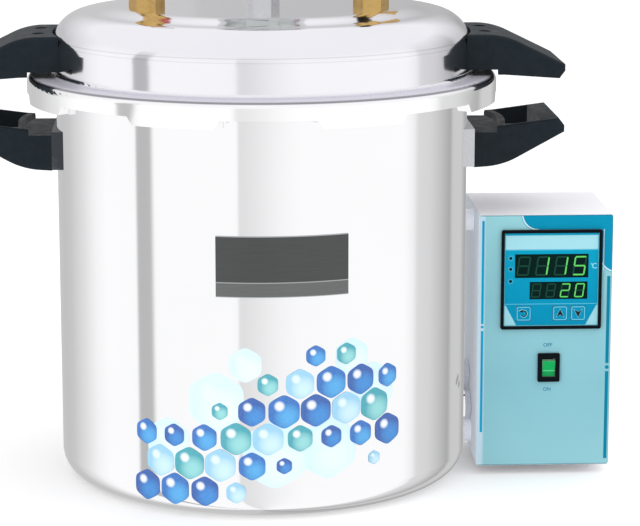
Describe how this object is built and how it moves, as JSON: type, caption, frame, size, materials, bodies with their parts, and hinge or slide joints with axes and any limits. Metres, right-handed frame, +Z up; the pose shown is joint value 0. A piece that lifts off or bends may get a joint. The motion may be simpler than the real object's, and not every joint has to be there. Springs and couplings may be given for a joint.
{
  "type": "portable autoclave",
  "caption": "Portable steam autoclave: polished pot with a bayonet lid, side handles and an inner basket, and a side control box with a temperature controller and a rocker switch.",
  "frame": {"origin": "centre of the vessel's base, on the surface that it stands on", "axes": "+Z up, -Y towards the front with the controller's face, +X to the side with the control box"},
  "size_m": [0.4592, 0.333, 0.424],
  "materials": {
    "aluminium": "mirror polished",
    "cast_aluminium": "fine cast, satin",
    "bakelite": "moulded, semi-gloss black",
    "steel": "plain",
    "steel_bright": "electropolished stainless",
    "brass": "machined",
    "brass_plated": "nickel plated",
    "label": "satin dark grey",
    "rubber": "moulded silicone",
    "white_plastic": "moulded nylon",
    "black_plastic": "fine moulded",
    "green_plastic": "moulded",
    "red_plastic": "moulded cap",
    "box_paint": "light lilac-white powder coat",
    "film": "printed film, satin",
    "face_blue": "printed film, satin",
    "window": "dark tinted window",
    "board": "solder mask",
    "dial": "printed matt white",
    "glass": "clear"
  },
  "bodies": {
    "vessel": {"vessel": "aluminium", "vessel_saddles": "cast_aluminium", "vessel_rivets": "aluminium", "body_handle_left": "bakelite", "body_handle_right": "bakelite", "body_handle_screws": "steel", "label_plate": "label", "heating_element": "steel", "wall_glands": "brass_plated", "gland_seals": "rubber", "gland_nuts": "brass_plated", "temperature_probe": "steel", "chamber_stand": "aluminium", "mounting_studs": "steel", "spacer_bushes": "white_plastic", "stud_nuts": "steel", "box_case": "box_paint", "box_cover": "box_paint", "panel_screws": "steel", "mains_inlet": "black_plastic", "front_film": "film", "controller_bezel": "black_plastic", "controller_case": "black_plastic", "controller_face": "face_blue", "display_upper": "window", "display_lower": "window", "indicator_lamps": "window", "circuit_board": "board", "display_modules": "black_plastic", "controller_clamps": "black_plastic", "rocker_frame": "black_plastic", "heater_relay": "black_plastic", "terminal_block": "white_plastic"},
    "seal": {"gasket": "rubber"},
    "lid": {"lid": "aluminium", "lid_brackets": "aluminium", "lid_rivets": "aluminium", "lid_handle_left": "bakelite", "lid_handle_right": "bakelite", "lid_handle_screws": "steel", "gauge_case": "brass_plated", "gauge_dial": "dial", "gauge_glass": "glass", "gauge_bezel": "brass_plated", "safety_valve_body": "brass", "safety_valve_cap": "red_plastic", "safety_valve_spring": "steel", "release_cock": "brass", "fusible_plug": "brass", "lid_lock_nuts": "brass"},
    "needle": {"gauge_needle": "black_plastic"},
    "valve_stem": {"safety_valve_stem": "steel"},
    "lever": {"release_lever": "black_plastic"},
    "rocker": {"rocker": "green_plastic"},
    "key_set": {"button_set": "face_blue"},
    "key_up": {"button_up": "face_blue"},
    "key_down": {"button_down": "face_blue"},
    "basket": {"basket": "steel_bright"},
    "bail": {"basket_bail": "steel_bright"}
  },
  "joints": [
    {"name": "lid_turn", "type": "hinge", "parent": "vessel", "child": "seal", "pos_m": [0, 0, 0.2833], "axis": [0, 0, 1], "range_deg": [-22.5, 0]},
    {"name": "lid_lift", "type": "slide", "parent": "seal", "child": "lid", "axis": [0, 0, 1], "range_m": [0, 0.3]},
    {"name": "needle_turn", "type": "hinge", "parent": "lid", "child": "needle", "pos_m": [0, 0, 0.389], "axis": [0, 1, 0], "range_deg": [0, 270], "stiffness_Nm_per_rad": 0.0001},
    {"name": "valve_pull", "type": "slide", "parent": "lid", "child": "valve_stem", "axis": [0, 0, 1], "range_m": [0, 0.004], "stiffness_N_per_m": 600, "deforming": ["safety_valve_spring"]},
    {"name": "lever_turn", "type": "hinge", "parent": "lid", "child": "lever", "pos_m": [0.077, -0.008, 0.367], "axis": [0, 0, 1], "range_deg": [0, 90]},
    {"name": "rocker_tilt", "type": "hinge", "parent": "vessel", "child": "rocker", "pos_m": [0.2031, -0.0392, 0.0796], "axis": [-1, 0, 0], "range_deg": [0, 24]},
    {"name": "set_press", "type": "slide", "parent": "vessel", "child": "key_set", "axis": [0, 1, 0], "range_m": [0, 0.0008], "stiffness_N_per_m": 400},
    {"name": "up_press", "type": "slide", "parent": "vessel", "child": "key_up", "axis": [0, 1, 0], "range_m": [0, 0.0008], "stiffness_N_per_m": 400},
    {"name": "down_press", "type": "slide", "parent": "vessel", "child": "key_down", "axis": [0, 1, 0], "range_m": [0, 0.0008], "stiffness_N_per_m": 400},
    {"name": "basket_lift", "type": "slide", "parent": "vessel", "child": "basket", "axis": [0, 0, 1], "range_m": [0, 0.1]},
    {"name": "bail_swing", "type": "hinge", "parent": "basket", "child": "bail", "pos_m": [0, 0, 0.2082], "axis": [1, 0, 0], "range_deg": [0, 180]}
  ]
}
